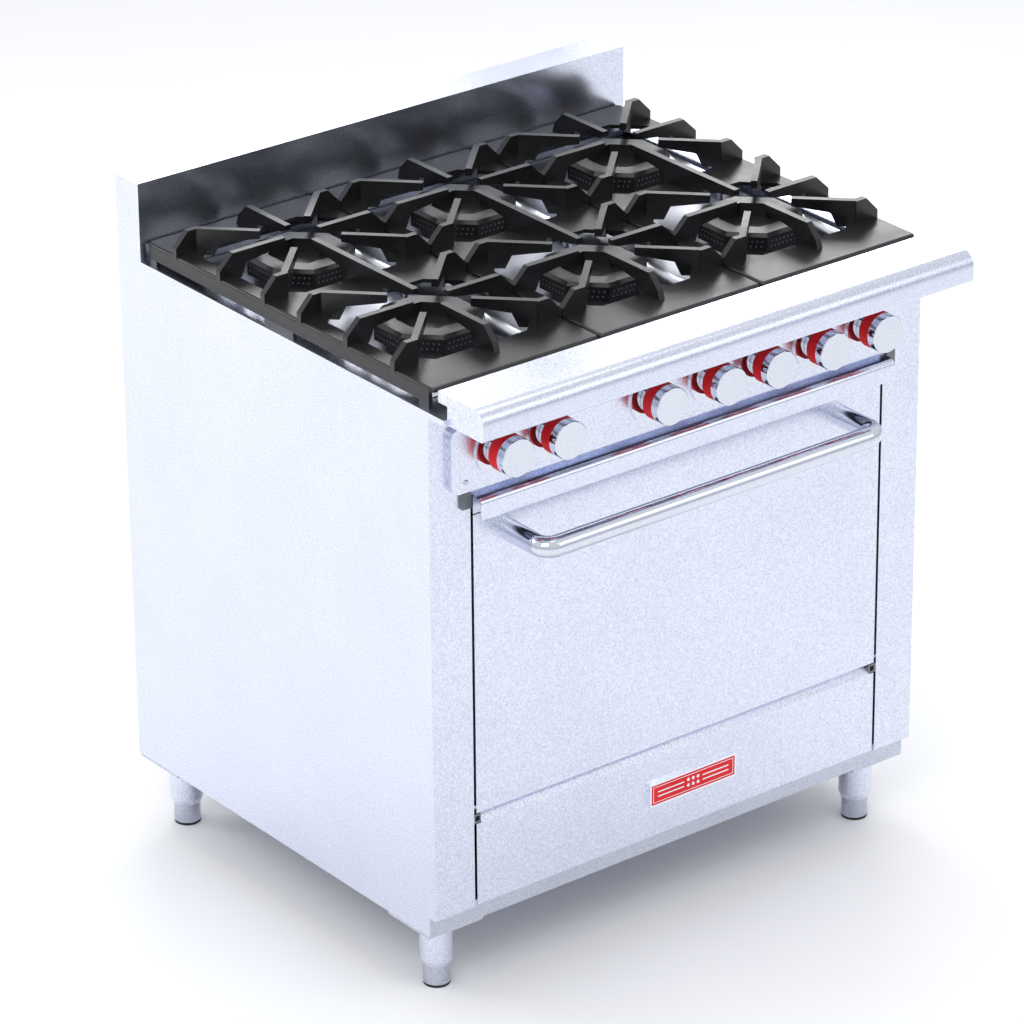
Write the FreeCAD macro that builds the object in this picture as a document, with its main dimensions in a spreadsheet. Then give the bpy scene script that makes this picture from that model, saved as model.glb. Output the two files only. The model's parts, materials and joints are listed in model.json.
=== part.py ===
import FreeCAD, Part
import math
import os
import re

# Commercial gas range, six burners over one oven.
# +X right, -Y front, +Z up, millimetres; origin on the floor under the middle of the outline.

doc = FreeCAD.newDocument("GasRange")
Vector = FreeCAD.Vector
Rotation = FreeCAD.Rotation
Placement = FreeCAD.Placement

DIMENSIONS = {
    "cabinet_half_width": 457,
    "front_face": -318,
    "rear_face": 436,
    "base_bottom": 114,
    "base_top": 146,
    "base_front": -302,
    "cabinet_top": 950,
    "sheet": 1.5,
    "plate_sheet": 2,
    "leg_offset": 407,
    "leg_front": -252,
    "leg_rear": 384,
    "leg_plate_size": 98,
    "leg_plate_thickness": 5,
    "leg_tube_radius": 25.4,
    "leg_foot_radius": 20.5,
    "leg_pad_radius": 20,
    "leg_tube_bottom": 36,
    "leg_socket_top": 60,
    "leg_taper_height": 8,
    "leg_pad_height": 4.5,
    "post_inner": 385,
    "panel_half_width": 380.5,
    "frame_back": -264,
    "door_bottom": 298,
    "door_top": 771,
    "door_back": -285,
    "boss_half_width": 340,
    "boss_bottom": 325,
    "boss_top": 745,
    "boss_back": -273,
    "hinge_height": 306,
    "hinge_depth": -313,
    "hinge_pin_radius": 3,
    "hinge_hole_radius": 3.05,
    "handle_radius": 15.875,
    "handle_wall": 2,
    "handle_half_span": 310.5,
    "handle_depth": -393,
    "handle_height": 725,
    "handle_bend": 21,
    "header_bottom": 773,
    "hood_height": 808,
    "hood_half_width": 385.5,
    "hood_front": -344,
    "hood_lip_bottom": 773.5,
    "front_top": 942,
    "panel_half_length": 425,
    "panel_bottom": 815,
    "panel_top": 915,
    "panel_front": -328,
    "panel_corner": 15,
    "knob_height": 868.5,
    "spindle_radius": 4,
    "knob_bore_radius": 4.05,
    "spindle_hole": 8,
    "bezel_radius": 40,
    "bezel_front": -331.5,
    "knob_back": -332,
    "knob_core_radius": 23.9,
    "band_inner_radius": 24,
    "band_back": -343,
    "grip_back": -362,
    "grip_radius": 28.8,
    "knob_front": -376,
    "kick_bottom": 148,
    "kick_edge": 281,
    "kick_top": 294,
    "badge_centre": 20.5,
    "badge_height": 219,
    "badge_half_length": 83,
    "badge_half_height": 19,
    "badge_depth": 6,
    "ledge_half_width": 451,
    "ledge_top": 987,
    "ledge_front": -436,
    "ledge_back": -335,
    "shelf_front": -355,
    "backguard_front": 377,
    "backguard_top": 1073,
    "cavity_half_width": 330,
    "cavity_bottom": 335,
    "cavity_top": 735,
    "cavity_back": 330,
    "rack_height": 476.6,
    "section_pitch": 298.5,
    "section_half_width": 148.5,
    "section_front": -316,
    "section_rear": 376,
    "burner_front": -115,
    "burner_rear": 193,
    "top_surface": 981,
    "top_thickness": 6,
    "grate_top": 1016,
    "finger_width": 10,
    "lip_thickness": 6,
    "lip_slot_height": 7,
    "plate_corner": 8,
    "plate_edge_radius": 5,
    "burner_head_top": 986,
    "burner_head_base": 958,
    "burner_rim_chamfer": 5,
    "tube_height": 905,
    "tube_radius": 12,
    "tray_top": 940,
    "upper_tube_height": 957,
}
KNOB_X = (-343, -250, -66, 44, 138, 241, 342)
THERMOSTAT = 5

sheet_table = doc.addObject("Spreadsheet::Sheet", "Dimensions")
for row, (alias, value) in enumerate(DIMENSIONS.items(), start=1):
    sheet_table.set("A%d" % row, alias.replace("_", " "))
    sheet_table.set("B%d" % row, str(value))
    sheet_table.setAlias("B%d" % row, alias)
doc.recompute()

nodes = {}


def size(alias):
    return DIMENSIONS[alias]


def bind(obj, prop, text):
    """Drive a property by an expression written with the plain dimension names."""
    names = lambda match: "Dimensions." + match.group(0) if match.group(0) in DIMENSIONS else match.group(0)
    obj.setExpression(prop, re.sub(r"[a-z_]+", names, str(text)))


def place(obj, x, y, z):
    for axis, text in zip("xyz", (x, y, z)):
        bind(obj, ".Placement.Base." + axis, text)


def box(name, x, y, z):
    """Box between pairs of expressions (low, high) on each axis."""
    solid = doc.addObject("Part::Box", name)
    for prop, (low, high) in zip(("Length", "Width", "Height"), (x, y, z)):
        bind(solid, prop, "(%s) - (%s)" % (high, low))
    place(solid, x[0], y[0], z[0])
    return solid


TURNS = {
    "x": Rotation(Vector(0, 1, 0), 90),
    "y": Rotation(Vector(1, 0, 0), -90),
    "z": Rotation(),
}


def rod(name, axis, radius, length, start):
    """Cylinder from its start point along +X, +Y or +Z."""
    solid = doc.addObject("Part::Cylinder", name)
    solid.Placement = Placement(Vector(), TURNS[axis])
    bind(solid, "Radius", radius)
    bind(solid, "Height", length)
    place(solid, *start)
    return solid


def fuse(name, shapes):
    solid = doc.addObject("Part::MultiFuse", name)
    solid.Shapes = shapes
    solid.Refine = True
    return solid


def cut(name, base, tools):
    solid = doc.addObject("Part::Cut", name)
    solid.Base = base
    solid.Tool = tools[0] if len(tools) == 1 else fuse(name + "_tools", tools)
    return solid


def group(name, shapes):
    several = doc.addObject("Part::Compound", name)
    several.Links = shapes
    return several


def node(name, obj):
    obj.Label = name
    nodes[name] = obj
    return obj


def outline(points):
    """Closed outline; a corner written (u, v, radius) is rounded."""
    count = len(points)
    starts, ends, arcs = [], [], []
    for index, point in enumerate(points):
        corner = Vector(point[0], point[1], 0)
        radius = point[2] if len(point) > 2 else 0
        before = Vector(points[index - 1][0], points[index - 1][1], 0)
        after = Vector(points[(index + 1) % count][0], points[(index + 1) % count][1], 0)
        if not radius:
            ends.append(corner)
            starts.append(corner)
            arcs.append(None)
            continue
        to_before = (before - corner).normalize()
        to_after = (after - corner).normalize()
        half = to_before.getAngle(to_after) / 2
        reach = radius / math.tan(half)
        middle = (to_before + to_after).normalize()
        ends.append(corner + to_before * reach)
        starts.append(corner + to_after * reach)
        arcs.append(corner + middle * (radius / math.sin(half) - radius))
    edges = []
    for index in range(count):
        if arcs[index] is not None:
            edges.append(Part.Arc(ends[index], arcs[index], starts[index]))
        edges.append(Part.LineSegment(starts[index], ends[(index + 1) % count]))
    return edges


def body_sketch(name, plane, outlines):
    body = doc.addObject("PartDesign::Body", name)
    sketch = body.newObject("Sketcher::SketchObject", name + "_sketch")
    origin_plane = next(f for f in body.Origin.OriginFeatures if f.Role == plane)
    sketch.AttachmentSupport = [(origin_plane, "")]
    sketch.MapMode = "FlatFace"
    for loop in outlines:
        for edge in loop:
            sketch.addGeometry(edge, False)
    return body, sketch


def padded(name, plane, outlines, length, at=("0", "0", "0")):
    """Profile padded equally to both sides of its plane."""
    body, sketch = body_sketch(name, plane, outlines)
    pad = body.newObject("PartDesign::Pad", name + "_pad")
    pad.Profile = sketch
    pad.Midplane = True
    bind(pad, "Length", length)
    place(body, *at)
    return body


def revolved(name, points, at):
    """Profile (radius, y) turned about the Y axis of its own frame."""
    body, sketch = body_sketch(name, "XY_Plane", [outline(points)])
    turn = body.newObject("PartDesign::Revolution", name + "_turn")
    turn.Profile = sketch
    turn.ReferenceAxis = (sketch, ["V_Axis"])
    turn.Angle = 360
    place(body, *at)
    return body


HALF = "cabinet_half_width"
INSIDE = "cabinet_half_width - sheet"
SIDES = (("left", -1), ("right", 1))


def side_range(sign, inner, outer):
    """x range (low, high) for a span measured outwards from the middle."""
    if sign > 0:
        return (inner, outer)
    return ("-(%s)" % outer, "-(%s)" % inner)


# ---- base rails, bottom pan and legs -------------------------------------------------
def channel(name, x, y, hollow_x, hollow_y):
    outer = box(name + "_outer", x, y, ("base_bottom", "base_top"))
    hollow = box(name + "_hollow", hollow_x, hollow_y, ("base_bottom", "base_top - plate_sheet"))
    return cut(name, outer, [hollow])


FULL = ("-(%s)" % INSIDE, INSIDE)
rails = [
    channel("front_rail", FULL, ("base_front", "base_front + 40"),
            FULL, ("base_front + plate_sheet", "base_front + 38")),
    channel("rear_rail", FULL, ("rear_face - sheet - 40", "rear_face - sheet"),
            FULL, ("rear_face - sheet - 38", "rear_face - sheet - plate_sheet")),
]
for side, sign in SIDES:
    along = ("base_front + 40", "rear_face - sheet - 40")
    rails.append(channel(side + "_rail", side_range(sign, INSIDE + " - 40", INSIDE), along,
                         side_range(sign, INSIDE + " - 38", INSIDE + " - plate_sheet"), along))
node("base_rails", group("base_rails", rails))
node("bottom_pan", box("bottom_pan", FULL, ("base_front + 40", "rear_face - sheet"),
                       ("base_top", "base_top + sheet")))

plates, tubes, feet, pads = [], [], [], []
for side, sign in SIDES:
    for end in ("front", "rear"):
        tag = side + "_" + end
        x = "%d * leg_offset" % sign
        y = "leg_" + end
        half = "leg_plate_size / 2"
        plates.append(box("leg_plate_" + tag, (x + " - " + half, x + " + " + half),
                          (y + " - " + half, y + " + " + half),
                          ("base_bottom - leg_plate_thickness", "base_bottom")))
        column = rod("leg_column_" + tag, "z", "leg_tube_radius",
                     "base_bottom - leg_plate_thickness - leg_tube_bottom - leg_taper_height",
                     (x, y, "leg_tube_bottom + leg_taper_height"))
        taper = doc.addObject("Part::Cone", "leg_taper_" + tag)
        bind(taper, "Radius1", "leg_tube_radius - 3.2")
        bind(taper, "Radius2", "leg_tube_radius")
        bind(taper, "Height", "leg_taper_height")
        place(taper, x, y, "leg_tube_bottom")
        socket = rod("leg_socket_" + tag, "z", "leg_foot_radius + 0.4",
                     "leg_socket_top - leg_tube_bottom", (x, y, "leg_tube_bottom"))
        tubes.append(cut("leg_tube_" + tag, fuse("leg_shell_" + tag, [column, taper]), [socket]))
        feet.append(rod("leg_foot_" + tag, "z", "leg_foot_radius",
                        "leg_socket_top - leg_pad_height", (x, y, "leg_pad_height")))
        pads.append(rod("leg_pad_" + tag, "z", "leg_pad_radius", "leg_pad_height", (x, y, "0")))
node("leg_plates", group("leg_plates", plates))
node("leg_tubes", group("leg_tubes", tubes))
node("leg_feet", group("leg_feet", feet))
node("leg_pads", group("leg_pads", pads))

# ---- outer sheets --------------------------------------------------------------------
side_panels, posts = [], []
for side, sign in SIDES:
    skin = side_range(sign, INSIDE, HALF)
    upper = box(side + "_side_upper", skin, ("front_face + sheet", "rear_face"),
                ("base_top", "cabinet_top"))
    lower = box(side + "_side_lower", skin, ("base_front", "rear_face"), ("base_bottom", "base_top"))
    flange = box(side + "_side_flange", side_range(sign, HALF + " - 24", HALF),
                 ("front_face + sheet", "rear_face - sheet"), ("cabinet_top - sheet", "cabinet_top"))
    side_panels.append(fuse(side + "_side_panel", [upper, lower, flange]))

    face = box(side + "_post_face", side_range(sign, "post_inner", HALF),
               ("front_face", "front_face + sheet"), ("base_top", "front_top"))
    web = box(side + "_post_web", side_range(sign, "post_inner", "post_inner + sheet"),
              ("front_face", "frame_back"), ("base_top", "front_top"))
    hole_start = "post_inner - 5" if sign > 0 else "-(post_inner + 10)"
    hole = rod(side + "_pin_hole", "x", "hinge_hole_radius", "15",
               (hole_start, "hinge_depth", "hinge_height"))
    posts.append(cut(side + "_post", fuse(side + "_post_sheet", [face, web]), [hole]))
node("side_panels", group("side_panels", side_panels))
node("door_posts", group("door_posts", posts))
node("back_panel", box("back_panel", FULL, ("rear_face - sheet", "rear_face"),
                       ("base_bottom", "cabinet_top")))

spindle_holes = [
    rod("spindle_hole_%d" % number, "y", "spindle_hole", "30",
        (x, "panel_front - 6", "knob_height"))
    for number, x in enumerate(KNOB_X, start=1)
]
upper_sheet = box("upper_sheet", ("-post_inner", "post_inner"), ("front_face", "front_face + sheet"),
                  ("hood_height", "front_top"))
header = box("header", ("-panel_half_width", "panel_half_width"), ("front_face", "front_face + sheet"),
             ("header_bottom", "hood_height"))
header_flange = box("header_flange", ("-panel_half_width", "panel_half_width"),
                    ("front_face", "frame_back"), ("header_bottom", "header_bottom + sheet"))
node("upper_front_panel", cut("upper_front_panel",
                              fuse("upper_front_sheet", [upper_sheet, header, header_flange]),
                              spindle_holes))

# ---- control panel, its screws, bezels -----------------------------------------------
def rounded_plate(name, inset, depth, front):
    length = size("panel_half_length") - inset
    low = size("panel_bottom") + inset
    high = size("panel_top") - inset
    corner = size("panel_corner") - inset
    loop = outline([(-length, low, corner), (length, low, corner),
                    (length, high, corner), (-length, high, corner)])
    return padded(name, "XZ_Plane", [loop], depth, ("0", front, "0"))


panel_block = rounded_plate("panel_block", 0, "front_face - panel_front",
                            "(front_face + panel_front) / 2")
panel_hollow = rounded_plate("panel_hollow", size("sheet"), "front_face - panel_front - sheet",
                             "(front_face + panel_front + sheet) / 2")
node("control_panel", cut("control_panel", panel_block, [panel_hollow] + spindle_holes))

screws = [
    revolved("%s_panel_screw" % side,
             [(0, -2.6), (2.4, -2.4), (4, -0.8), (4, 0), (0, 0)],
             ("%d * 400" % sign, "panel_front", "831"))
    for side, sign in SIDES
]
node("control_panel_screws", group("control_panel_screws", screws))

bezels = []
for number, x in enumerate(KNOB_X, start=1):
    disc = rod("bezel_disc_%d" % number, "y", "bezel_radius", "panel_front - bezel_front",
               (x, "bezel_front", "knob_height"))
    bezels.append(cut("bezel_%d" % number, disc, [spindle_holes[number - 1]]))
node("knob_bezels", group("knob_bezels", bezels))

# ---- knobs ----------------------------------------------------------------------------
for number, x in enumerate(KNOB_X, start=1):
    centre = (x, "0", "knob_height")
    bore_end = size("grip_back") - 4
    grip = [
        (size("knob_bore_radius"), size("knob_back")),
        (size("knob_core_radius"), size("knob_back")),
        (size("knob_core_radius"), size("grip_back")),
        (size("grip_radius"), size("grip_back")),
        (size("grip_radius"), size("knob_front") + 1),
        (size("grip_radius") - 1, size("knob_front")),
        (0, size("knob_front")),
        (0, bore_end),
        (size("knob_bore_radius"), bore_end),
    ]
    node("knob_%d" % number, revolved("knob_%d" % number, grip, centre))
    band = [
        (size("band_inner_radius"), size("grip_back")),
        (size("grip_radius"), size("grip_back")),
        (size("grip_radius"), size("band_back")),
        (size("band_inner_radius"), size("band_back")),
    ]
    node("knob_%d_band" % number, revolved("knob_%d_band" % number, band, centre))

# ---- gas valves, thermostat and manifold ---------------------------------------------
valves = []
for number, x in enumerate(KNOB_X, start=1):
    spindle = rod("spindle_%d" % number, "y", "spindle_radius", "53",
                  (x, "front_face - 47", "knob_height"))
    if number == THERMOSTAT:
        case = box("thermostat_case", ("%d - 22" % x, "%d + 22" % x), ("front_face + 6", "front_face + 40"),
                   ("knob_height - 25", "knob_height + 25"))
        node("oven_thermostat", fuse("oven_thermostat", [spindle, case]))
        continue
    case = box("valve_case_%d" % number, ("%d - 12" % x, "%d + 12" % x),
               ("front_face + 6", "front_face + 34"), ("knob_height - 13", "knob_height + 13"))
    tail = rod("valve_tail_%d" % number, "y", "6", "12", (x, "front_face + 34", "knob_height"))
    valves.append(fuse("valve_%d" % number, [spindle, case, tail]))
node("gas_valves", group("gas_valves", valves))
node("gas_manifold", rod("gas_manifold", "x", "13.5", "760", ("-380", "front_face + 55.5", "knob_height")))

# ---- hood over the door, its end brackets --------------------------------------------
front = size("front_face")
hood_top = size("hood_height")
hood_front = size("hood_front")
lip_bottom = size("hood_lip_bottom")
hood_loop = outline([
    (front, hood_top),
    (hood_front, hood_top - 5, 8),
    (hood_front, lip_bottom),
    (hood_front + 2, lip_bottom),
    (hood_front + 2, hood_top - 6.6, 6),
    (front, hood_top - 2),
])
node("door_hood", padded("door_hood", "YZ_Plane", [hood_loop], "2 * hood_half_width"))
brackets = [
    box("%s_hood_bracket" % side, side_range(sign, "387", "403"),
        ("front_face - 6", "front_face"), ("787", "811"))
    for side, sign in SIDES
]
node("hood_brackets", group("hood_brackets", brackets))

# ---- kick panel, badge and hinge brackets --------------------------------------------
sheet = size("sheet")
kick_top = size("kick_top")
kick_edge = size("kick_edge")
kick_loop = outline([
    (front, size("kick_bottom")),
    (front, kick_edge),
    (front + 13, kick_top),
    (size("frame_back"), kick_top),
    (size("frame_back"), kick_top - sheet),
    (front + 13.6, kick_top - sheet),
    (front + sheet, kick_edge - 0.6),
    (front + sheet, size("kick_bottom")),
])
kick_sheet = padded("kick_sheet", "YZ_Plane", [kick_loop], "2 * panel_half_width")
notches, hinge_blocks = [], []
for side, sign in SIDES:
    notches.append(box(side + "_kick_notch", side_range(sign, "371.5", "panel_half_width + 2"),
                       ("front_face - 1", "front_face + 22"), ("kick_edge - 0.5", "kick_top + 2")))
    block = box(side + "_hinge_block", side_range(sign, "372", "post_inner"),
                ("front_face + 1", "front_face + 21"), ("kick_edge", "kick_top + 1.5"))
    pocket = box(side + "_hinge_pocket", side_range(sign, "374", "382"),
                 ("front_face", "front_face + 8"), ("kick_edge + 3", "kick_top - 1.5"))
    hinge_blocks.append(cut(side + "_hinge_bracket", block, [pocket]))
node("kick_panel", cut("kick_panel", kick_sheet, notches))
node("door_hinge_brackets", group("door_hinge_brackets", hinge_blocks))

BADGE_X = ("badge_centre - badge_half_length", "badge_centre + badge_half_length")
BADGE_Z = ("badge_height - badge_half_height", "badge_height + badge_half_height")
badge_block = box("badge_block", BADGE_X, ("front_face - badge_depth", "front_face"), BADGE_Z)
RECESS_X = (BADGE_X[0] + " + 3", BADGE_X[1] + " - 3")
RECESS_Z = (BADGE_Z[0] + " + 3", BADGE_Z[1] + " - 3")
badge_recess = box("badge_recess", RECESS_X, ("front_face - badge_depth", "front_face - badge_depth + 1.5"),
                   RECESS_Z)
node("badge_plate", cut("badge_plate", badge_block, [badge_recess]))
node("badge_inlay", box("badge_inlay", RECESS_X,
                        ("front_face - badge_depth + 0.3", "front_face - badge_depth + 1.5"), RECESS_Z))

# ---- front ledge and its shelf -------------------------------------------------------
ledge_front = size("ledge_front")
ledge_top = size("ledge_top")
ledge_back = size("ledge_back")
ledge_bottom = size("front_top")
wall = size("plate_sheet")
ledge_loop = outline([
    (ledge_back, ledge_top - 17),
    (ledge_back, ledge_top),
    (ledge_front, ledge_top, 22),
    (ledge_front, ledge_bottom, 5),
    (ledge_front + 24, ledge_bottom),
    (ledge_front + 24, ledge_bottom + wall),
    (ledge_front + wall, ledge_bottom + wall, 3),
    (ledge_front + wall, ledge_top - wall, 20),
    (ledge_back - wall, ledge_top - wall),
    (ledge_back - wall, ledge_top - 17),
])
node("front_ledge", padded("front_ledge", "YZ_Plane", [ledge_loop], "2 * (ledge_half_width - plate_sheet)"))
cap_loop = [
    (ledge_back, ledge_top - 17),
    (ledge_back, ledge_top),
    (ledge_front, ledge_top, 22),
    (ledge_front, ledge_bottom, 5),
    (size("shelf_front"), ledge_bottom),
    (size("shelf_front"), ledge_top - 17),
]
caps = [
    padded("%s_ledge_cap" % side, "YZ_Plane", [outline(cap_loop)], "plate_sheet",
           ("%d * (ledge_half_width - plate_sheet / 2)" % sign, "0", "0"))
    for side, sign in SIDES
]
node("ledge_end_caps", group("ledge_end_caps", caps))
shelf_bar = box("shelf_bar", ("-" + HALF, HALF), ("shelf_front", "front_face + sheet"),
                ("front_top", "cabinet_top"))
shelf_inner = box("shelf_inner", ("-" + HALF + " + 24", HALF + " - 24"),
                  ("front_face + sheet", "front_face + 33"), ("cabinet_top - plate_sheet", "cabinet_top"))
node("ledge_shelf", fuse("ledge_shelf", [shelf_bar, shelf_inner]))

# ---- backguard and rear rail ---------------------------------------------------------
guard_z = ("cabinet_top", "backguard_top")
guard_front = box("guard_front", FULL, ("backguard_front", "backguard_front + sheet"), guard_z)
guard_rear = box("guard_rear", FULL, ("rear_face - sheet", "rear_face"), guard_z)
guard_top = box("guard_top", FULL, ("backguard_front", "rear_face"),
                ("backguard_top - sheet", "backguard_top"))
node("backguard", fuse("backguard", [guard_front, guard_rear, guard_top]))
guard_caps = [
    box("%s_guard_cap" % side, side_range(sign, INSIDE, HALF), ("backguard_front", "rear_face"), guard_z)
    for side, sign in SIDES
]
node("backguard_end_caps", group("backguard_end_caps", guard_caps))
RAIL_X = ("-" + HALF + " + 24", HALF + " - 24")
rail_top = box("rail_top", RAIL_X, ("section_rear - 28", "rear_face - sheet"),
               ("cabinet_top - plate_sheet", "cabinet_top"))
rail_web = box("rail_web", RAIL_X, ("section_rear - 28", "section_rear - 26"),
               ("cabinet_top - 20", "cabinet_top"))
node("rear_top_rail", fuse("rear_top_rail", [rail_top, rail_web]))

# ---- oven liner ----------------------------------------------------------------------
walls = []
LINER_Z = ("cavity_bottom - sheet", "cavity_top + sheet")
for side, sign in SIDES:
    liner = box(side + "_liner", side_range(sign, "cavity_half_width", "cavity_half_width + sheet"),
                ("frame_back", "cavity_back + sheet"), LINER_Z)
    flange = box(side + "_liner_flange", side_range(sign, "cavity_half_width", "post_inner"),
                 ("frame_back", "frame_back + sheet"), ("kick_top", "header_bottom"))
    walls.append(fuse(side + "_oven_wall", [liner, flange]))
node("oven_side_walls", group("oven_side_walls", walls))
CAVITY_X = ("-cavity_half_width", "cavity_half_width")
node("oven_back_wall", box("oven_back_wall", CAVITY_X, ("cavity_back", "cavity_back + sheet"), LINER_Z))
ceiling = box("ceiling_sheet", CAVITY_X, ("frame_back", "cavity_back"),
              ("cavity_top", "cavity_top + sheet"))
ceiling_flange = box("ceiling_flange", CAVITY_X, ("frame_back", "frame_back + sheet"),
                     ("cavity_top", "header_bottom"))
node("oven_ceiling", fuse("oven_ceiling", [ceiling, ceiling_flange]))
floor = box("floor_sheet", CAVITY_X, ("frame_back", "cavity_back"),
            ("cavity_bottom - sheet", "cavity_bottom"))
floor_flange = box("floor_flange", CAVITY_X, ("frame_back", "frame_back + sheet"),
                   ("kick_top", "cavity_bottom"))
node("oven_floor", fuse("oven_floor", [floor, floor_flange]))

guides = []
for side, sign in SIDES:
    for level in range(4):
        low = "rack_height - 3.6 - 3 + %d" % (75 * (level - 1))
        guides.append(box("%s_guide_%d" % (side, level),
                          side_range(sign, "cavity_half_width - 14", "cavity_half_width"),
                          ("-230", "310"), (low, low + " + 3")))
node("rack_guides", group("rack_guides", guides))

wires = []
for x in (-320, 320):
    wires.append(rod("rack_side_%d" % (x > 0), "y", "3.5", "530", (x, "-225", "rack_height")))
for index, y in enumerate((-222, 40, 302)):
    wires.append(rod("rack_cross_%d" % index, "x", "3", "640", ("-320", y, "rack_height")))
for index in range(21):
    wires.append(rod("rack_wire_%d" % index, "y", "2", "526", (-300 + 30 * index, "-223", "rack_height + 3")))
node("oven_rack", fuse("oven_rack", wires))

burner_bar = rod("burner_bar", "y", "15", "500", ("0", "-220", "250"))
burner_elbow = box("burner_elbow", ("-20", "20"), ("-235", "-205"), ("base_top + sheet", "270"))
node("oven_burner", fuse("oven_burner", [burner_bar, burner_elbow]))

# ---- door ----------------------------------------------------------------------------
PANEL_X = ("-panel_half_width", "panel_half_width")
DOOR_Z = ("door_bottom", "door_top")
IN_X = ("-panel_half_width + sheet", "panel_half_width - sheet")
IN_Y = ("front_face + sheet", "door_back")
IN_Z = ("door_bottom + sheet", "door_top - sheet")
door_block = box("door_block", PANEL_X, ("front_face", "door_back"), DOOR_Z)
door_hollow = box("door_hollow", IN_X, IN_Y, IN_Z)
node("door_outer_panel", cut("door_outer_panel", door_block, [door_hollow]))
node("door_insulation", box("door_insulation", IN_X, IN_Y, IN_Z))
inner_sheet = box("inner_sheet", PANEL_X, ("door_back", "door_back + sheet"), DOOR_Z)
boss = box("inner_boss", ("-boss_half_width", "boss_half_width"), ("door_back", "boss_back"),
           ("boss_bottom", "boss_top"))
boss_hollow = box("boss_hollow", ("-boss_half_width + sheet", "boss_half_width - sheet"),
                  ("door_back", "boss_back - sheet"), ("boss_bottom + sheet", "boss_top - sheet"))
node("door_inner_panel", cut("door_inner_panel", fuse("inner_pressing", [inner_sheet, boss]),
                             [boss_hollow]))


def handle_solid(name, radius):
    pieces = [rod(name + "_bar", "x", radius, "2 * (handle_half_span - handle_bend)",
                  ("-handle_half_span + handle_bend", "handle_depth", "handle_height"))]
    for side, sign in SIDES:
        x = "%d * handle_half_span" % sign
        pieces.append(rod("%s_leg_%s" % (name, side), "y", radius,
                          "front_face - handle_depth - handle_bend",
                          (x, "handle_depth + handle_bend", "handle_height")))
        bend = doc.addObject("Part::Torus", "%s_bend_%s" % (name, side))
        bind(bend, "Radius1", "handle_bend")
        bind(bend, "Radius2", radius)
        bend.Angle3 = 90
        bend.Placement = Placement(Vector(), Rotation(Vector(0, 0, 1), 270 if sign > 0 else 180))
        place(bend, "%d * (handle_half_span - handle_bend)" % sign, "handle_depth + handle_bend",
              "handle_height")
        pieces.append(bend)
    return fuse(name, pieces)


node("door_handle", cut("door_handle", handle_solid("handle_outside", "handle_radius"),
                        [handle_solid("handle_inside", "handle_radius - handle_wall")]))
pins = [
    rod("%s_hinge_pin" % side, "x", "hinge_pin_radius", "9.5",
        ("panel_half_width" if sign > 0 else "-panel_half_width - 9.5", "hinge_depth", "hinge_height"))
    for side, sign in SIDES
]
node("door_hinge_pins", group("door_hinge_pins", pins))

# ---- top burners, tubes, spill tray ---------------------------------------------------
SECTIONS = (("left", -1), ("center", 0), ("right", 1))
heads, burner_tubes, tube_holes = [], [], []


def octagon(name, radius, low, high, x, y):
    """Upright eight-sided block with flat sides facing front, back, left and right."""
    block = doc.addObject("Part::Prism", name)
    block.Polygon = 8
    block.Placement = Placement(Vector(), Rotation(Vector(0, 0, 1), 22.5))
    bind(block, "Circumradius", radius)
    bind(block, "Height", "(%s) - (%s)" % (high, low))
    place(block, x, y, low)
    return block


def octagon_outline(flat):
    """Corners of a flat-sided octagon whose sides stand at a distance from its centre."""
    half = flat * math.tan(math.radians(22.5))
    return outline([(flat, -half), (flat, half), (half, flat), (-half, flat),
                    (-flat, half), (-flat, -half), (-half, -flat), (half, -flat)])


def crown_ring(tag, x, y):
    """Eight-sided ring casting with a bevelled outer rim and an open middle."""
    body = padded("crown_" + tag, "XY_Plane", [octagon_outline(75), octagon_outline(46)],
                  "burner_head_top - burner_head_base",
                  (x, y, "(burner_head_top + burner_head_base) / 2"))
    doc.recompute()
    pad = body.Tip
    rim = []
    for number, edge in enumerate(pad.Shape.Edges, start=1):
        middle = edge.CenterOfMass
        level = edge.BoundBox.ZLength < 0.001
        if level and middle.z > 0 and math.hypot(middle.x, middle.y) > 60:
            rim.append("Edge%d" % number)
    bevel = body.newObject("PartDesign::Chamfer", "rim_" + tag)
    bevel.Base = (pad, rim)
    bind(bevel, "Size", "burner_rim_chamfer")
    return body


for section, step in SECTIONS:
    x = "%d * section_pitch" % step
    tube_x = x + " + 88"
    for end in ("front", "rear"):
        tag = section + "_" + end
        y = "burner_" + end
        crown = crown_ring(tag, x, y)
        pedestal = octagon("pedestal_" + tag, "64", "tray_top", "burner_head_top - 20", x, y)
        neck = box("neck_" + tag, (x + " + 60", tube_x + " + 10"), (y + " - 12", y + " + 12"),
                   ("tray_top", "upper_tube_height + 6"))
        heads.append(fuse("burner_head_" + tag, [crown, pedestal, neck]))
        bend_y = "-246" if end == "front" else "48"
        drop_low = "886" if end == "front" else "tube_height"
        lengths = [
            rod("upper_tube_" + tag, "y", "tube_radius", y + " - 12 - (" + bend_y + ")",
                (tube_x, bend_y, "upper_tube_height")),
            rod("drop_tube_" + tag, "z", "tube_radius", "upper_tube_height - (" + drop_low + ")",
                (tube_x, bend_y, drop_low)),
        ]
        knee = doc.addObject("Part::Sphere", "knee_" + tag)
        bind(knee, "Radius", "tube_radius")
        place(knee, tube_x, bend_y, "upper_tube_height")
        lengths.append(knee)
        if end == "rear":
            lengths.append(rod("lower_tube_" + tag, "y", "tube_radius", "48 + 228",
                               (tube_x, "-228", "tube_height")))
            lower_knee = doc.addObject("Part::Sphere", "lower_knee_" + tag)
            bind(lower_knee, "Radius", "tube_radius")
            place(lower_knee, tube_x, bend_y, "tube_height")
            lengths.append(lower_knee)
        burner_tubes.append(fuse("burner_tube_" + tag, lengths))
        tube_holes.append(rod("tube_hole_" + tag, "z", "tube_radius + 1", "20",
                              (tube_x, bend_y, "tray_top - 10")))
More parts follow.
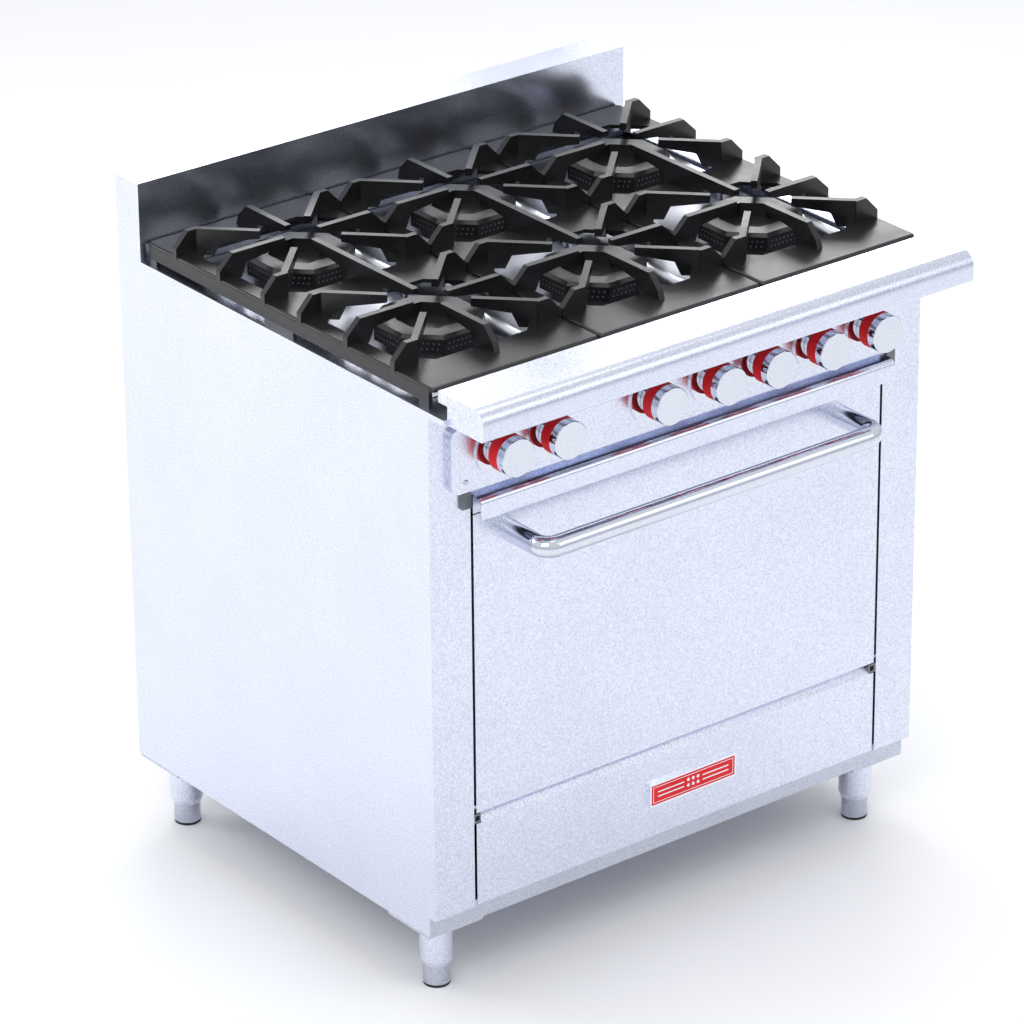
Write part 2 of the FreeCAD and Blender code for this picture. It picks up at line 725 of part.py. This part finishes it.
node("burner_heads", group("burner_heads", heads))
node("burner_tubes", group("burner_tubes", burner_tubes))
tray_sheet = box("tray_sheet", FULL, ("frame_back + 1", "section_rear - 30"),
                 ("tray_top - sheet", "tray_top"))
node("spill_tray", cut("spill_tray", tray_sheet, tube_holes))

# ---- cast top sections with their grates ----------------------------------------------
half_width = size("section_half_width")
top = size("grate_top")
plate_top = size("top_surface")
plate_low = plate_top - size("top_thickness")


def opening(centre):
    """Eight-sided burner opening around a burner centre."""
    far, near = 121, 80
    corners = [(far, -near), (far, near), (near, far), (-near, far),
               (-far, near), (-far, -near), (-near, -far), (near, -far)]
    return outline([(x, centre + y) for x, y in corners])


SIDE_FINGER = [(31, top), (124, top), (half_width, top - 23.5), (half_width, plate_low), (110, plate_low),
               (101, top - 20), (42, top - 12), (31, top - 8)]
END_FINGER = [(32, top), (131, top), (151, top - 20.5), (156, plate_top), (156, plate_low), (110, plate_low),
              (101, top - 20), (42, top - 12), (32, top - 8)]
CORNER_FINGER = [(60, top), (156, top), (156, plate_low), (128, plate_low), (118, top - 20), (60, top - 12)]
CORNER_END = [(106, top), (126, top), (half_width, top - 23.5), (half_width, plate_low), (106, plate_low)]


def finger(name, profile, x, y, angle):
    """Upright cast web: a profile (radius, z) turned to an angle about a vertical axis."""
    body = padded(name, "XZ_Plane", [outline(profile)], "finger_width")
    body.Placement = Placement(Vector(), Rotation(Vector(0, 0, 1), angle))
    place(body, x, y, "0")
    return body


def cast_plate(section, x):
    """Flat plate with two burner openings, rounded corners and a rounded top edge."""
    low, high, corner = size("section_front"), size("section_rear"), size("plate_corner")
    rectangle = outline([(-half_width, low, corner), (half_width, low, corner),
                         (half_width, high, corner), (-half_width, high, corner)])
    body = padded("top_plate_" + section, "XY_Plane",
                  [rectangle, opening(size("burner_front")), opening(size("burner_rear"))],
                  "top_thickness", (x, "0", "top_surface - top_thickness / 2"))
    doc.recompute()
    pad = body.Tip
    rim = []
    for number, edge in enumerate(pad.Shape.Edges, start=1):
        middle = edge.CenterOfMass
        at_top = middle.z > 0.9 * size("top_thickness") / 2
        outside = abs(middle.x) > half_width - corner or not low + corner < middle.y < high - corner
        if at_top and outside:
            rim.append("Edge%d" % number)
    rounding = body.newObject("PartDesign::Fillet", "top_edge_" + section)
    rounding.Base = (pad, rim)
    bind(rounding, "Radius", "plate_edge_radius")
    return body


for section, step in SECTIONS:
    x = "%d * section_pitch" % step
    members = [cast_plate(section, x)]
    for side, sign in SIDES:
        inner, outer = side_range(sign, "section_half_width - lip_thickness", "section_half_width")
        for index, (low, high) in enumerate((("section_front + plate_corner", "section_front + 30"), ("10", "80"),
                                             ("section_rear - 26", "section_rear - plate_corner"))):
            members.append(box("lip_foot_%s_%s_%d" % (section, side, index),
                               (x + " + (" + inner + ")", x + " + (" + outer + ")"),
                               (low, high), ("cabinet_top", "top_surface - top_thickness")))
        members.append(box("lip_%s_%s" % (section, side),
                           (x + " + (" + inner + ")", x + " + (" + outer + ")"),
                           ("section_front + plate_corner", "section_rear - plate_corner"),
                           ("cabinet_top + lip_slot_height", "top_surface - top_thickness")))
    front_hub = size("burner_front")
    rear_hub = size("burner_rear")
    bridge = [(front_hub + 32, top), (rear_hub - 32, top), (rear_hub - 32, top - 8),
              (rear_hub - 42, top - 12), (rear_hub - 101, top - 20), (rear_hub - 110, plate_low),
              (front_hub + 110, plate_low), (front_hub + 101, top - 20), (front_hub + 42, top - 12),
              (front_hub + 32, top - 8)]
    members.append(padded("bridge_" + section, "YZ_Plane", [outline(bridge)], "finger_width",
                          (x, "0", "0")))
    for end, outward in (("front", 270), ("rear", 90)):
        tag = section + "_" + end
        y = "burner_" + end
        members.append(finger("finger_out_" + tag, END_FINGER, x, y, outward))
        members.append(finger("finger_east_" + tag, SIDE_FINGER, x, y, 0))
        members.append(finger("finger_west_" + tag, SIDE_FINGER, x, y, 180))
        for corner in range(4):
            members.append(finger("finger_%d_%s" % (corner, tag), CORNER_FINGER, x, y, 45 + 90 * corner))
        for index, (facing, offset) in enumerate(((0, 110), (0, -110), (180, 110), (180, -110))):
            members.append(finger("finger_end_%d_%s" % (index, tag), CORNER_END, x,
                                  y + " + %d" % offset, facing))
    node("top_grate_" + section, fuse("top_grate_" + section, members))

# ---- check and write -------------------------------------------------------------------
doc.recompute()
for obj in doc.Objects:
    if any(word in obj.State for word in ("Invalid", "Error")):
        raise RuntimeError("%s is %s" % (obj.Name, obj.State))
os.makedirs("parts", exist_ok=True)
for name, obj in nodes.items():
    shape = obj.Shape
    if shape.isNull() or not shape.isValid() or not shape.Solids:
        raise RuntimeError(name + " has no valid solid")
    shape.exportStep("parts/" + name + ".step")
print("%d sub-parts" % len(nodes))
for name, obj in nodes.items():
    print(name, len(obj.Shape.Solids), round(obj.Shape.Volume / 1000, 1))
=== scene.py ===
import json
import math

import bmesh
import bpy
from mathutils import Matrix, Vector


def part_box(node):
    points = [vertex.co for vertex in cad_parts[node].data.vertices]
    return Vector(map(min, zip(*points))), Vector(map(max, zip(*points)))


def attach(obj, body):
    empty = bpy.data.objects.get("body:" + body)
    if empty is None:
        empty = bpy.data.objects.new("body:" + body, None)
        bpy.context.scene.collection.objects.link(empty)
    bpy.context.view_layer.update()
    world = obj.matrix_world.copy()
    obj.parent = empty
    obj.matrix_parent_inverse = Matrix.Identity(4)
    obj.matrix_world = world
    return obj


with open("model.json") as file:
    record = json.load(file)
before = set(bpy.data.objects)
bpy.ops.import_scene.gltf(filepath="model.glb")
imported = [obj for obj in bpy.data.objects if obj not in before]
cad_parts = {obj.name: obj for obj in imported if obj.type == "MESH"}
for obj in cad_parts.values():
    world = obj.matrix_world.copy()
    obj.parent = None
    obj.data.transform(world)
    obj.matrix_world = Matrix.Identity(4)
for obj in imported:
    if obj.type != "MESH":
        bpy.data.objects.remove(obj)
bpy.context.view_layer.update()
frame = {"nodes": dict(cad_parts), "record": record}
MM = 0.001
nodes = frame["nodes"]

# ---- camera and room -------------------------------------------------------------------
CAMERA_POSITION = Vector((-4.4415, -5.6211, 3.9269))
CAMERA_AZIMUTH = math.radians(-37.912)
CAMERA_ELEVATION = math.radians(25.257)
CAMERA_ROLL = math.radians(-0.498)
CAMERA_LENS = 185.92
CAMERA_SENSOR = 36
CAMERA_REACH = 60

FLOOR_SIZE = 60
FLOOR_COLOUR = (0.93, 0.93, 0.93, 1)
FLOOR_WORN = (0.91, 0.91, 0.915, 1)
# Sky colour from the horizon (0) towards straight up (1).
SKY_STOPS = (
    (0.0, (0.48, 0.52, 0.60, 1)),
    (0.08, (0.66, 0.69, 0.77, 1)),
    (0.22, (0.78, 0.81, 0.88, 1)),
    (0.6, (0.84, 0.85, 0.87, 1)),
)
# Name, position, target and size in metres, power in watts.
LIGHTS = (
    ("key", (-3.6, -2.6, 4.4), (0, 0, 0.6), (2.6, 2.6), 68),
    ("front_fill", (1.9, -3.6, 2.8), (1.3, -2.0, 0.0), (2.4, 2.0), 12),
    ("top", (0.3, 0.2, 4.8), (0, 0, 1), (3.0, 3.0), 52),
    ("left_floor", (-2.6, 3.0, 2.2), (-2.1, 2.4, 0.0), (1.2, 1.2), 26),
    ("rear_left_box", (0.9, 2.2, 2.3), (-0.3, -0.2, 1.0), (0.9, 0.9), 9),
    ("rear_right_box", (2.7, 2.2, 2.3), (0.4, -0.2, 1.0), (1.1, 0.9), 14),
)


def add_camera():
    back = Vector((math.sin(CAMERA_AZIMUTH) * math.cos(CAMERA_ELEVATION),
                   -math.cos(CAMERA_AZIMUTH) * math.cos(CAMERA_ELEVATION),
                   math.sin(CAMERA_ELEVATION)))
    right = Vector((math.cos(CAMERA_AZIMUTH), math.sin(CAMERA_AZIMUTH), 0))
    up = back.cross(right)
    rolled_right = right * math.cos(CAMERA_ROLL) + up * math.sin(CAMERA_ROLL)
    rolled_up = up * math.cos(CAMERA_ROLL) - right * math.sin(CAMERA_ROLL)
    turn = Matrix((rolled_right, rolled_up, back)).transposed()
    data = bpy.data.cameras.new("camera")
    data.lens = CAMERA_LENS
    data.sensor_width = CAMERA_SENSOR
    data.clip_end = CAMERA_REACH
    camera = bpy.data.objects.new("camera", data)
    camera.matrix_world = Matrix.Translation(CAMERA_POSITION) @ turn.to_4x4()
    bpy.context.scene.collection.objects.link(camera)
    bpy.context.scene.camera = camera


def area_light(name, position, target, size, power):
    data = bpy.data.lights.new(name, "AREA")
    data.shape = "RECTANGLE"
    data.size, data.size_y = size
    data.energy = power
    light = bpy.data.objects.new(name, data)
    light.location = position
    light.rotation_euler = (Vector(target) - Vector(position)).to_track_quat("-Z", "Y").to_euler()
    bpy.context.scene.collection.objects.link(light)


def add_room():
    bpy.ops.mesh.primitive_plane_add(size=FLOOR_SIZE, location=(0, 0, 0))
    floor = bpy.context.object
    floor.name = "floor"
    floor.data.materials.append(floor_material())
    world = bpy.data.worlds.new("studio")
    bpy.context.scene.world = world
    world.use_nodes = True
    tree = world.node_tree
    background = tree.nodes["Background"]
    coordinate = tree.nodes.new("ShaderNodeTexCoord")
    split = tree.nodes.new("ShaderNodeSeparateXYZ")
    ramp = tree.nodes.new("ShaderNodeValToRGB")
    stops = ramp.color_ramp.elements
    while len(stops) < len(SKY_STOPS):
        stops.new(0.5)
    for stop, (place, colour) in zip(stops, SKY_STOPS):
        stop.position = place
        stop.color = colour
    tree.links.new(coordinate.outputs["Generated"], split.inputs[0])
    tree.links.new(split.outputs["Z"], ramp.inputs[0])
    tree.links.new(ramp.outputs["Color"], background.inputs["Color"])
    for name, position, target, dimensions, power in LIGHTS:
        area_light(name, position, target, dimensions, power)
    bpy.context.scene.view_settings.view_transform = "Standard"


# ---- material helpers --------------------------------------------------------------------
class Shader:
    """A principled material with short calls for its texture nodes."""

    def __init__(self, name):
        self.material = bpy.data.materials.new(name)
        self.material.use_nodes = True
        self.tree = self.material.node_tree
        self.surface = self.tree.nodes["Principled BSDF"]
        self.coordinate = self.tree.nodes.new("ShaderNodeTexCoord").outputs["Object"]

    def set(self, **values):
        for key, value in values.items():
            self.surface.inputs[key.replace("_", " ")].default_value = value
        return self

    def node(self, kind, **inputs):
        node = self.tree.nodes.new(kind)
        for key, value in inputs.items():
            socket = node.inputs[key.replace("_", " ")]
            if isinstance(value, bpy.types.NodeSocket):
                self.tree.links.new(value, socket)
            else:
                socket.default_value = value
        return node

    def stretched(self, scale):
        mapping = self.tree.nodes.new("ShaderNodeMapping")
        mapping.inputs["Scale"].default_value = scale
        self.tree.links.new(self.coordinate, mapping.inputs["Vector"])
        return mapping.outputs[0]

    def noise(self, scale, detail=4, roughness=0.55, vector=None):
        node = self.node("ShaderNodeTexNoise", Scale=scale, Detail=detail, Roughness=roughness)
        self.tree.links.new(vector or self.coordinate, node.inputs["Vector"])
        return node.outputs["Fac"]

    def spread(self, value, low, high, start=0.3, end=0.7):
        """Maps a 0-1 texture value, mostly between start and end, onto low-high."""
        node = self.node("ShaderNodeMapRange", Value=value, From_Min=start, From_Max=end,
                         To_Min=low, To_Max=high)
        return node.outputs["Result"]

    def mix(self, factor, first, second):
        """Mixes two colours; the node keeps its colour sockets after those of the other data types."""
        node = self.tree.nodes.new("ShaderNodeMix")
        node.data_type = "RGBA"
        for socket, value in ((node.inputs[0], factor), (node.inputs[6], first), (node.inputs[7], second)):
            if isinstance(value, bpy.types.NodeSocket):
                self.tree.links.new(value, socket)
            else:
                socket.default_value = value
        return node.outputs[2]

    def link(self, output, socket):
        self.tree.links.new(output, self.surface.inputs[socket])
        return self

    def bump(self, height, distance, strength=1.0):
        node = self.node("ShaderNodeBump", Height=height, Distance=distance, Strength=strength)
        self.tree.links.new(node.outputs["Normal"], self.surface.inputs["Normal"])
        return self


def floor_material():
    shader = Shader("floor_matte")
    cloud = shader.noise(1.5, 3)
    shader.link(shader.mix(shader.spread(cloud, 0, 1), FLOOR_COLOUR, FLOOR_WORN), "Base Color")
    return shader.set(Roughness=0.9).material


def sheet_metal(name, colour, worn, roughness, sparkle=0.10):
    """Stainless or plated sheet: grain in the colour, faint vertical rolling lines, soft smudges."""
    shader = Shader(name).set(Metallic=1.0)
    smudge = shader.noise(7, 5)
    base = shader.mix(shader.spread(smudge, 0, 1), colour, worn)
    grain = shader.noise(420, 2, 0.6)
    rolling = shader.noise(1, 3, 0.6, shader.stretched((900, 900, 6)))
    speck = shader.node("ShaderNodeMath", Value=shader.spread(grain, 1 - sparkle, 1 + sparkle, 0.2, 0.8))
    speck.operation = "MULTIPLY"
    shader.tree.links.new(shader.spread(rolling, 0.985, 1.015), speck.inputs[1])
    tint = shader.tree.nodes.new("ShaderNodeVectorMath")
    tint.operation = "SCALE"
    shader.tree.links.new(base, tint.inputs[0])
    shader.tree.links.new(speck.outputs[0], tint.inputs["Scale"])
    shader.link(tint.outputs[0], "Base Color")
    blotch = shader.noise(4, 4)
    shader.link(shader.spread(blotch, roughness * 0.85, roughness * 1.2), "Roughness")
    return shader.bump(grain, 0.00002, 0.3).material


IRON = (0.0022, 0.0022, 0.0026, 1)
IRON_FADED = (0.0055, 0.0053, 0.0055, 1)
IRON_WORN = (0.03, 0.03, 0.031, 1)


def cast_iron():
    """Black enamelled casting: sand-cast grit, a soft sheen and slightly worn high spots."""
    shader = Shader("cast_iron").set(Metallic=0.0, IOR=1.55)
    grit = shader.noise(700, 2, 0.6)
    cloud = shader.noise(14, 5, 0.6)
    base = shader.mix(shader.spread(cloud, 0, 1), IRON, IRON_FADED)
    shader.link(shader.mix(shader.spread(grit, 0, 1, 0.55, 0.8), base, IRON_WORN), "Base Color")
    shader.link(shader.spread(cloud, 0.26, 0.38), "Roughness")
    return shader.bump(grit, 0.00012, 0.5).material


def plain(name, colour, worn, roughness, metallic=0.0, grit_scale=300, bump=0.00005):
    """Paint, rubber or cast metal: cloudy colour and sheen over a fine grit."""
    shader = Shader(name).set(Metallic=metallic)
    cloud = shader.noise(12, 4)
    grit = shader.noise(grit_scale, 3)
    shader.link(shader.mix(shader.spread(cloud, 0, 1), colour, worn), "Base Color")
    shader.link(shader.spread(cloud, roughness * 0.8, min(1.0, roughness * 1.25)), "Roughness")
    return shader.bump(grit, bump, 0.5).material


ENAMEL_GROUND = (0.012, 0.014, 0.02, 1)
ENAMEL_SPECK = (0.45, 0.46, 0.48, 1)


def enamel():
    """Dark oven enamel with scattered pale specks under a light gloss."""
    shader = Shader("speckled_enamel").set(Coat_Weight=0.3)
    dots = shader.noise(260, 2)
    speckled = shader.mix(shader.spread(dots, 0, 1, 0.62, 0.68), ENAMEL_GROUND, ENAMEL_SPECK)
    shader.link(speckled, "Base Color")
    cloud = shader.noise(6, 4)
    shader.link(shader.spread(cloud, 0.18, 0.34), "Roughness")
    return shader.bump(cloud, 0.0004, 0.3).material


WOOL_DARK = (0.5, 0.42, 0.22, 1)
WOOL_LIGHT = (0.75, 0.68, 0.45, 1)


def wool():
    """Matt yellow mineral wool."""
    shader = Shader("mineral_wool").set(Roughness=1.0)
    fibre = shader.noise(160, 6, 0.75)
    shader.link(shader.mix(shader.spread(fibre, 0, 1), WOOL_DARK, WOOL_LIGHT), "Base Color")
    return shader.bump(fibre, 0.002, 0.8).material


STEEL = (0.715, 0.745, 0.86, 1)
STEEL_WORN = (0.69, 0.72, 0.835, 1)
MATERIALS = {
    "stainless": sheet_metal("stainless", STEEL, STEEL_WORN, 0.25, 0.27),
    "polished_steel": sheet_metal("polished_steel", STEEL, STEEL_WORN, 0.11, 0.2),
    "chrome": sheet_metal("chrome", (0.70, 0.725, 0.80, 1), (0.67, 0.695, 0.77, 1), 0.06, 0.16),
    "bright_steel": sheet_metal("bright_steel", (0.56, 0.585, 0.68, 1), (0.50, 0.525, 0.61, 1), 0.26, 0.3),
    "tube_steel": sheet_metal("tube_steel", (0.86, 0.88, 0.94, 1), (0.76, 0.78, 0.86, 1), 0.30),
    "tray_steel": sheet_metal("tray_steel", (0.80, 0.82, 0.90, 1), (0.68, 0.70, 0.78, 1), 0.34),
    "galvanised": sheet_metal("galvanised", (0.60, 0.625, 0.71, 1), (0.54, 0.565, 0.65, 1), 0.40, 0.3),
    "grey_steel": plain("grey_steel", (0.22, 0.23, 0.25, 1), (0.16, 0.17, 0.18, 1), 0.4, metallic=0.7),
    "rubber": plain("rubber", (0.012, 0.012, 0.012, 1), (0.02, 0.02, 0.02, 1), 0.75,
                    grit_scale=500, bump=0.0002),
    "badge_metal": sheet_metal("badge_metal", (0.88, 0.90, 0.94, 1), (0.84, 0.86, 0.91, 1), 0.18),
    "badge_red": plain("badge_red", (0.72, 0.0004, 0.003, 1), (0.66, 0.0004, 0.003, 1), 0.6),
    "band_red": plain("band_red", (0.78, 0.0004, 0.004, 1), (0.72, 0.0004, 0.003, 1), 0.6),
    "brass": plain("brass", (0.55, 0.38, 0.14, 1), (0.42, 0.28, 0.10, 1), 0.35, metallic=1.0),
    "cast_iron": cast_iron(),
    "enamel": enamel(),
    "insulation": wool(),
}

# ---- CAD nodes keep their mesh and take a finished material and soft edges --------------------
SMOOTH_BELOW = math.radians(30)
BEVEL_ABOVE = math.radians(40)
# Bevel width in millimetres.
BEVEL = {
    "top_grate_left": 1.4, "top_grate_center": 1.4, "top_grate_right": 1.4,
    "burner_heads": 1.2, "control_panel": 0.8, "front_ledge": 0.5, "ledge_end_caps": 0.5,
    "door_outer_panel": 0.7, "kick_panel": 0.5, "door_posts": 0.5, "side_panels": 0.5,
    "backguard": 0.4, "badge_plate": 1.2, "knob_bezels": 0.7, "base_rails": 0.8,
    "leg_plates": 1.0, "ledge_shelf": 0.5, "door_hood": 0.4, "hood_brackets": 0.8,
    "door_inner_panel": 0.6,
}


def smooth_edges(obj, width_mm):
    bevel = obj.modifiers.new("soft_edges", "BEVEL")
    bevel.width = width_mm * MM
    bevel.segments = 2
    bevel.limit_method = "ANGLE"
    bevel.angle_limit = BEVEL_ABOVE
    bevel.harden_normals = False


def shade_smooth(obj):
    for polygon in obj.data.polygons:
        polygon.use_smooth = True
    obj.data.set_sharp_from_angle(angle=SMOOTH_BELOW)


def dress_cad_nodes():
    slots = {entry["node"]: entry["material_slot"] for entry in frame["record"]["subparts"]}
    for name, obj in nodes.items():
        obj.data.materials.clear()
        obj.data.materials.append(MATERIALS[slots[name]])
        shade_smooth(obj)
        if name in BEVEL:
            smooth_edges(obj, BEVEL[name])


# ---- pieces too small for the CAD model ------------------------------------------------------
BURNER_Y = (-0.115, 0.193)
CROWN_SIDES = 8
CROWN_FLAT = 75 * MM
PORT_HEIGHTS = (966 * MM, 974 * MM)
PORT_RADIUS = 1.3 * MM
PORTS_PER_SIDE = 7
PORT_PITCH = 7.6 * MM
PORT_STAGGER = 0.25
PORT_PROUD = 0.25 * MM
DISC_SEGMENTS = 12
DISC_TAPER = 0.8


def new_piece(name, mesh_maker, slot, body="cabinet"):
    mesh = bpy.data.meshes.new(name)
    work = bmesh.new()
    mesh_maker(work)
    bmesh.ops.recalc_face_normals(work, faces=work.faces)
    work.to_mesh(mesh)
    work.free()
    piece = bpy.data.objects.new(name, mesh)
    bpy.context.scene.collection.objects.link(piece)
    mesh.materials.append(MATERIALS[slot])
    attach(piece, body)


def add_disc(work, centre, normal, radius, thickness):
    """Short round boss whose back face stands on a surface at its centre."""
    turn = Vector(normal).to_track_quat("Z", "Y").to_matrix().to_4x4()
    middle = Vector(centre) + Vector(normal) * thickness / 2
    bmesh.ops.create_cone(work, cap_ends=True, segments=DISC_SEGMENTS, radius1=radius,
                          radius2=radius * DISC_TAPER, depth=thickness,
                          matrix=Matrix.Translation(middle) @ turn)


def add_bar(work, low, high):
    """Straight strip between two opposite corners."""
    middle = (Vector(low) + Vector(high)) / 2
    span = Vector(high) - Vector(low)
    scale = Matrix.Diagonal((span.x, span.y, span.z, 1))
    bmesh.ops.create_cube(work, size=1, matrix=Matrix.Translation(middle) @ scale)


def burner_centres():
    for section in ("left", "center", "right"):
        low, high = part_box("top_grate_" + section)
        for y in BURNER_Y:
            yield (low[0] + high[0]) / 2, y


def burner_ports(work):
    """Two staggered rows of small discs on each crown side, standing in for the flame ports."""
    for x, y in burner_centres():
        for side in range(CROWN_SIDES):
            angle = math.radians(360 / CROWN_SIDES * side)
            normal = Vector((math.cos(angle), math.sin(angle), 0))
            along = Vector((-normal.y, normal.x, 0))
            for row, height in enumerate(PORT_HEIGHTS):
                for index in range(PORTS_PER_SIDE):
                    step = index - (PORTS_PER_SIDE - 1) / 2 + PORT_STAGGER * (row - 0.5)
                    offset = step * PORT_PITCH
                    centre = Vector((x, y, height)) + normal * CROWN_FLAT + along * offset
                    add_disc(work, centre, normal, PORT_RADIUS, PORT_PROUD)


BADGE_LINE = 1.0 * MM
BADGE_MARGIN = 3.0 * MM
BADGE_RELIEF = 0.35 * MM
# Shares of the height inside the badge's border.
DOT_PITCH = 0.36
# Shares of the dot pitch.
DOT_RADIUS = 0.3
RULE_START = 1.9
RULE_HEIGHT = 0.4


def badge_trim(work):
    """Thin inner border and a plain six-burner pictogram between two pairs of rules."""
    low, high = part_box("badge_inlay")
    front, back = low[1] - BADGE_RELIEF, low[1] + BADGE_RELIEF
    x0, x1 = low[0] + BADGE_MARGIN, high[0] - BADGE_MARGIN
    z0, z1 = low[2] + BADGE_MARGIN, high[2] - BADGE_MARGIN
    for z in (z0, z1 - BADGE_LINE):
        add_bar(work, (x0, front, z), (x1, back, z + BADGE_LINE))
    for x in (x0, x1 - BADGE_LINE):
        add_bar(work, (x, front, z0 + BADGE_LINE), (x + BADGE_LINE, back, z1 - BADGE_LINE))
    middle_x, middle_z = (x0 + x1) / 2, (z0 + z1) / 2
    step = (z1 - z0) * DOT_PITCH
    for column in (-1, 0, 1):
        for row in (-0.5, 0.5):
            add_disc(work, (middle_x + column * step, low[1], middle_z + row * step), (0, -1, 0),
                     step * DOT_RADIUS, BADGE_RELIEF)
    rule_end = x1 - middle_x - 3 * BADGE_MARGIN
    for sign in (-1, 1):
        start, end = sorted((middle_x + sign * RULE_START * step, middle_x + sign * rule_end))
        for z in (middle_z - step * RULE_HEIGHT, middle_z + step * RULE_HEIGHT):
            add_bar(work, (start, front, z - BADGE_LINE), (end, back, z + BADGE_LINE))


def add_small_pieces():
    new_piece("burner_ports", burner_ports, "grey_steel")
    new_piece("badge_trim", badge_trim, "badge_metal")


add_camera()
add_room()
dress_cad_nodes()
add_small_pieces()
